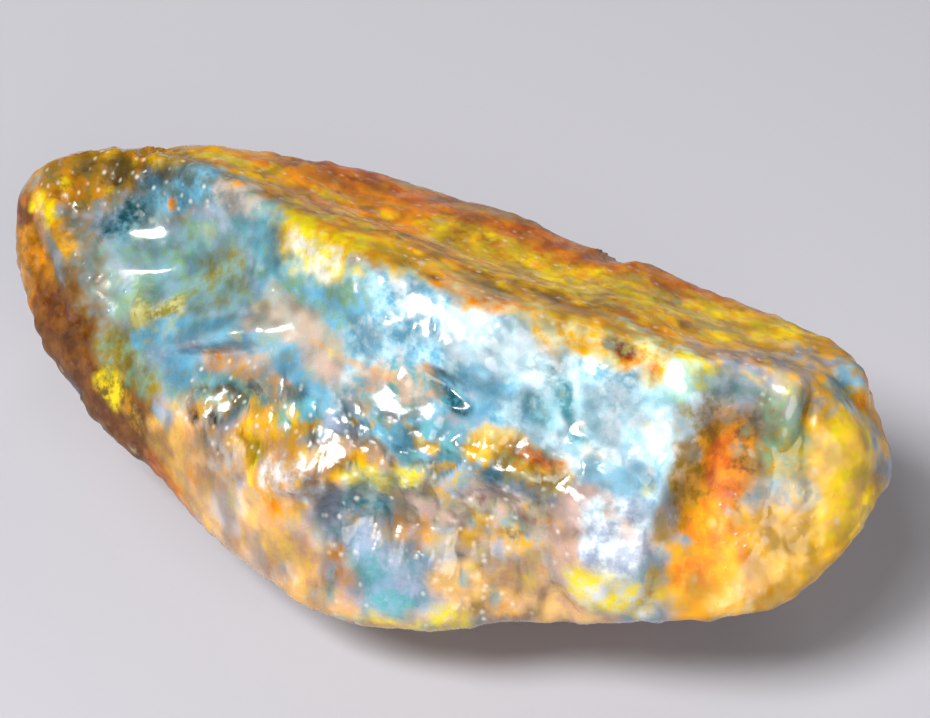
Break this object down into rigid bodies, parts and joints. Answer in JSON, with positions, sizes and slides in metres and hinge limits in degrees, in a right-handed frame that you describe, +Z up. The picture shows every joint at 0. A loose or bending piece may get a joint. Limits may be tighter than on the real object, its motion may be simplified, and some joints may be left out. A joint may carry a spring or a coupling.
{
  "type": "rough amber specimen",
  "caption": "Long rough lump of unpolished amber with a ridged top, scooped and ledged front face, grooved end and flat resting foot.",
  "frame": {"origin": "on the ground under the middle of the lump's bounding box", "axes": "+X along the length towards the grooved amber end, +Y away towards the amber-brown back, +Z up"},
  "size_m": [0.0436, 0.023, 0.0168],
  "materials": {
    "amber": "gloss"
  },
  "bodies": {
    "root": {"amber": "amber"}
  },
  "joints": []
}
